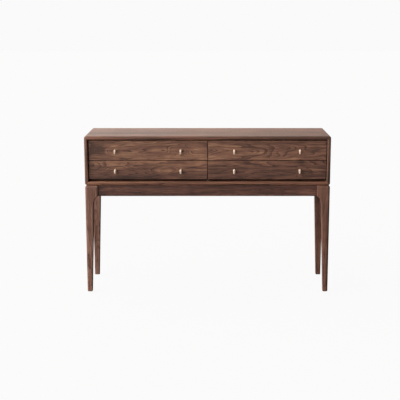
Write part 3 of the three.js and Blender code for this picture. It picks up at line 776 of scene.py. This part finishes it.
def make_knob_pair():
    sizes = {**KNOB, "Apart": 0.32, "Place": (0.0, 0.0, 0.0), "Material": None}
    tree, given, out = geometry_tree("Pair of drop knobs", sizes)
    quarter = math.pi / 2

    # The drop: a round end and a smaller tip, joined by the straight line that touches both
    narrowing = number(tree, "SUBTRACT", given["Round radius"], given["Tip radius"])
    slope = number(tree, "ARCSINE", number(tree, "DIVIDE", narrowing, given["Drop"]))
    below = number(tree, "MULTIPLY", slope, -1.0)
    sweep = number(tree, "SUBTRACT", below, quarter)
    crown = arc(tree, given["Round radius"], quarter, sweep, at(tree))
    lower = at(tree, y=number(tree, "MULTIPLY", given["Drop"], -1.0))
    sweep = number(tree, "SUBTRACT", slope, quarter)
    tip = arc(tree, given["Tip radius"], below, sweep, lower)
    drop = turned(tree, joined(tree, crown, tip))
    reach, hang = (number(tree, "MULTIPLY", given[size], -1.0) for size in ("Reach", "Hang"))
    drop = step(tree, "Transform", {"Geometry": drop, "Translation": at(tree, 0.0, reach, hang)})

    # The post and its foot, turned as one and laid with their axis towards -Y
    post, foot, rim = given["Post radius"], given["Foot radius"], given["Rim"]
    thick = given["Foot thickness"]
    end = {"Start": at(tree, y=given["Reach"]), "End": at(tree, post, given["Reach"])}
    end = step(tree, "CurvePrimitiveLine", end)
    hollow = at(tree, number(tree, "ADD", post, rim), number(tree, "ADD", thick, rim))
    hollow = arc(tree, rim, math.pi, quarter, hollow, points=5)
    edge = at(tree, number(tree, "SUBTRACT", foot, rim), number(tree, "SUBTRACT", thick, rim))
    edge = arc(tree, rim, quarter, -quarter, edge, points=5)
    base = step(tree, "CurvePrimitiveLine", {"Start": at(tree, foot), "End": at(tree)})
    stem = turned(tree, joined(tree, end, hollow, edge, base), around=28)
    stem = step(tree, "Transform", {"Geometry": stem, "Rotation": (quarter, 0.0, 0.0)})

    pair = side_by_side(tree, joined(tree, drop, stem), given["Place"], given["Apart"])
    pair = step(tree, "SetShadeSmooth", {"Geometry": pair})
    pair = step(tree, "SetMaterial", {"Geometry": pair, "Material": given["Material"]})
    tree.links.new(pair, out[0])
    return tree


def knob_places(drawer):
    """The place halfway between a drawer's knobs, on the face of its front, and their distance."""
    screws = [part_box(f"{drawer}_drawer_{side}_knob_screw") for side in ("left", "right")]
    left, right = ((low + high) / 2 for low, high in screws)
    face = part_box(drawer + "_drawer_front")[0].y
    return Vector(((left.x + right.x) / 2, face, left.z)), right.x - left.x


def make_satin_metal():
    """Metal with fine scratches, whose colour and gloss change a little from place to place."""
    tree, given, out = shader_group("Satin metal", {
        "Scratches": (900.0, 900.0, 900.0),
        "Roughness": 0.3,
        "Dull shade": (0.5, 0.5, 0.5, 1.0),
        "Bright shade": (0.7, 0.7, 0.7, 1.0),
    }, {"Color": "Color", "Roughness": "Float", "Height": "Float"})
    place = put(tree, "TexCoord").outputs["Object"]
    cloud = noise(tree, place, (260.0, 260.0, 260.0), detail=3.0).outputs["Fac"]
    scratch = noise(tree, place, given["Scratches"], detail=2.0).outputs["Fac"]
    bright = between(tree, cloud, 0.3, 0.7)
    colour = blend_colours(tree, bright, given["Dull shade"], given["Bright shade"])
    tree.links.new(colour, out["Color"])
    rough = number(tree, "MULTIPLY_ADD", scratch, 0.16, given["Roughness"])
    tree.links.new(number(tree, "MULTIPLY_ADD", cloud, 0.08, rough), out["Roughness"])
    tree.links.new(scratch, out["Height"])
    return tree


satin_metal = make_satin_metal()


def metal(name, shades, roughness, scratches, metallic=1.0):
    """Satin metal in a dull and a bright shade. Its rubbed edges have the third shade. The
    scratches are counted per metre on each axis."""
    material = bpy.data.materials.new(name)
    material.use_nodes = True
    tree = material.node_tree
    surface = tree.nodes["Principled BSDF"]
    dull, bright, rubbed = (shade(code) for code in shades)
    satin = placed(
        tree, satin_metal, scratches=scratches, roughness=roughness,
        dull_shade=dull, bright_shade=bright,
    )
    worn = placed(tree, edge_wear, reach=0.0008, strength=0.8).outputs["Wear"]
    colour = blend_colours(tree, worn, satin.outputs["Color"], rubbed)
    tree.links.new(colour, surface.inputs["Base Color"])
    tree.links.new(satin.outputs["Roughness"], surface.inputs["Roughness"])
    bump = {"Height": satin.outputs["Height"], "Strength": 0.12, "Distance": 0.00005}
    tree.links.new(put(tree, "Bump", bump).outputs["Normal"], surface.inputs["Normal"])
    surface.inputs["Metallic"].default_value = metallic
    return material


BRASS_SHADES = ("#d1b69c", "#ddc8b4", "#eaddd4")
brass = metal(
    "pale_brass", BRASS_SHADES, roughness=0.36, scratches=(900.0, 900.0, 5000.0), metallic=0.3,
)
knob_pair = make_knob_pair()
for drawer in FRONT_FIGURES:
    place, apart = knob_places(drawer)
    pair = grow(drawer + "_knobs", knob_pair, apart=apart, place=place, material=brass)
    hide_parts(f"{drawer}_drawer_left_knob", f"{drawer}_drawer_right_knob")
    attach(pair, drawer + "_drawer")


# ---- Knob screws -----------------------------------------------------------------------------
# A zinc-plated screw goes through the drawer front from inside the box and into the post of each
# knob. Its domed head has a crossed slot and lies on the back of the front.

SCREW = {
    "Shank radius": 0.002,
    "Shank": 0.026,
    "Point": 0.0005,
    "Head radius": 0.004,
    "Head height": 0.0024,
    "Slot width": 0.001,
    "Slot depth": 0.0012,
}


def make_screw_pair():
    sizes = {**SCREW, "Apart": 0.32, "Place": (0.0, 0.0, 0.0), "Material": None}
    tree, given, out = geometry_tree("Pair of knob screws", sizes)
    shank, head, height = given["Shank radius"], given["Head radius"], given["Head height"]

    # From the middle of the domed head to its rim, in to the shank, and down to the point
    dome = {"Start": at(tree, y=height), "Middle": at(tree, head, height), "Resolution": 6}
    dome["End"] = at(tree, head, number(tree, "MULTIPLY", height, 0.4))
    dome = step(tree, "CurveQuadraticBezier", dome)
    seat = step(tree, "CurvePrimitiveLine", {"Start": at(tree, head), "End": at(tree, shank)})
    end = number(tree, "MULTIPLY", given["Shank"], -1.0)
    shoulder = at(tree, shank, number(tree, "ADD", end, given["Point"]))
    narrow = at(tree, number(tree, "SUBTRACT", shank, given["Point"]), end)
    taper = step(tree, "CurvePrimitiveLine", {"Start": shoulder, "End": narrow})
    tip = step(tree, "CurvePrimitiveLine", {"Start": narrow, "End": at(tree, y=end)})
    screw = turned(tree, joined(tree, dome, seat, taper, tip), around=24)

    # Two crossed slots, cut down into the head
    reach = number(tree, "MULTIPLY", head, 1.3)
    depth = number(tree, "MULTIPLY", given["Slot depth"], 2.0)
    slot = step(tree, "MeshCube", {"Size": at(tree, reach, given["Slot width"], depth)})
    slot = step(tree, "Transform", {"Geometry": slot, "Translation": at(tree, z=height)})
    turn = {"Geometry": slot, "Rotation": (0.0, 0.0, math.pi / 2)}
    for cutter in (slot, step(tree, "Transform", turn)):
        cut = {"Mesh 1": screw, "Mesh 2": cutter}
        screw = step(tree, "MeshBoolean", cut, operation="DIFFERENCE", solver="EXACT")
    screw = step(tree, "MergeByDistance", {"Geometry": screw, "Distance": 1e-5})
    screw = step(tree, "Transform", {"Geometry": screw, "Rotation": (-math.pi / 2, 0.0, 0.0)})
    pair = side_by_side(tree, screw, given["Place"], given["Apart"])
    pair = creased(tree, pair, angle=30)
    pair = step(tree, "SetMaterial", {"Geometry": pair, "Material": given["Material"]})
    tree.links.new(pair, out[0])
    return tree


STEEL_SHADES = ("#8f9498", "#b4b8bb", "#d5d8da")
steel = metal(
    "zinc_plated_steel", STEEL_SHADES, roughness=0.26, scratches=(1500.0, 1500.0, 1500.0),
)
screw_pair = make_screw_pair()
for drawer in FRONT_FIGURES:
    place, apart = knob_places(drawer)
    place.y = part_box(drawer + "_drawer_front")[1].y
    pair = grow(drawer + "_knob_screws", screw_pair, apart=apart, place=place, material=steel)
    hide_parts(f"{drawer}_drawer_left_knob_screw", f"{drawer}_drawer_right_knob_screw")
    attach(pair, drawer + "_drawer")


# ---- Room, light and camera ------------------------------------------------------------------
# A pale seamless studio floor in a white room, which is lit by large soft panels on the left, and a
# long lens a little above the table. Everything beyond the floor is one plain pale backdrop.

BACKDROP = 0.955
FLOOR_TONE = 0.03
FLOOR_GLOW = BACKDROP - 0.035  # the light that falls on the floor adds the rest
FLOOR_BOUNCE = 0.22  # the share of its light that the floor throws up
FLOOR_IN_GLOSS = 0.06  # and the share that glossy surfaces mirror
AMBIENT = (0.05, 0.05, 0.05)

# Each lit panel: the way to its middle, where its glow starts and where it is full (the cosine of
# the angle from there), and its light. The one behind the table is a little warmer.
PANELS = (
    ((-1.0, 0.0, 0.0), -0.3, 1.0, (2.5, 2.5, 2.5)),
    ((-0.97, 0.0, 0.26), 0.7, 0.95, (1.2, 1.2, 1.2)),
    ((-0.72, -0.6, 0.34), 0.7, 0.95, (2.4, 2.4, 2.4)),
    ((-0.55, 0.65, 0.52), 0.3, 1.0, (1.06, 0.97, 0.86)),
)


def make_floor():
    mesh = bpy.data.meshes.new("studio_floor")
    half = 30.0
    corners = [(-half, -half, 0.0), (half, -half, 0.0), (half, half, 0.0), (-half, half, 0.0)]
    mesh.from_pydata(corners, [], [(0, 1, 2, 3)])
    floor = bpy.data.objects.new("studio_floor", mesh)
    bpy.context.scene.collection.objects.link(floor)
    material = bpy.data.materials.new("pale_floor")
    material.use_nodes = True
    tree = material.node_tree
    tree.nodes.clear()
    seen = put(tree, "BsdfPrincipled", {
        "Base Color": (FLOOR_TONE, FLOOR_TONE, FLOOR_TONE, 1.0),
        "Roughness": 1.0,
        "Specular IOR Level": 0.0,
        "Emission Color": (1.0, 1.0, 1.0, 1.0),
        "Emission Strength": FLOOR_GLOW,
    })
    ray = put(tree, "LightPath").outputs
    fall = FLOOR_IN_GLOSS - FLOOR_BOUNCE
    bounce = number(tree, "MULTIPLY_ADD", ray["Is Glossy Ray"], fall, FLOOR_BOUNCE)
    bounce = put(tree, "BsdfDiffuse", {"Color": bounce})
    mixed = {0: ray["Is Camera Ray"], 1: bounce.outputs[0], 2: seen.outputs[0]}
    mixed = put(tree, "MixShader", mixed)
    put(tree, "OutputMaterial", {"Surface": mixed.outputs[0]})
    mesh.materials.append(material)


def make_room():
    world = bpy.data.worlds.new("white_room")
    world.use_nodes = True
    tree = world.node_tree
    tree.nodes.clear()
    towards = put(tree, "TexCoord").outputs["Generated"]
    light = AMBIENT
    for side, low, high, glow in PANELS:
        facing = vector(tree, "DOT_PRODUCT", towards, side)
        light = vector(tree, "MULTIPLY_ADD", between(tree, facing, low, high), glow, light)
    seen = put(tree, "Background", {"Color": (1.0, 1.0, 1.0, 1.0), "Strength": BACKDROP})
    lit = put(tree, "Background", {"Color": light})
    from_camera = put(tree, "LightPath").outputs["Is Camera Ray"]
    mixed = put(tree, "MixShader", {0: from_camera, 1: lit.outputs[0], 2: seen.outputs[0]})
    put(tree, "OutputWorld", {"Surface": mixed.outputs[0]})
    bpy.context.scene.world = world


make_floor()
make_room()

case_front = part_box("top_panel")[0].y
DISTANCE = 4.5774
EYE_HEIGHT = 1.368
DOWNWARD_TILT = 11.145
camera = bpy.data.cameras.new("camera")
camera.lens = 85.61
camera.sensor_width = 36.0
camera.shift_x = -0.0214
viewpoint = bpy.data.objects.new("camera", camera)
viewpoint.location = (0.005, case_front - DISTANCE, EYE_HEIGHT)
viewpoint.rotation_euler = (math.radians(90 - DOWNWARD_TILT), 0.0, 0.0)
bpy.context.scene.collection.objects.link(viewpoint)
bpy.context.scene.camera = viewpoint
bpy.context.scene.view_settings.view_transform = "Standard"
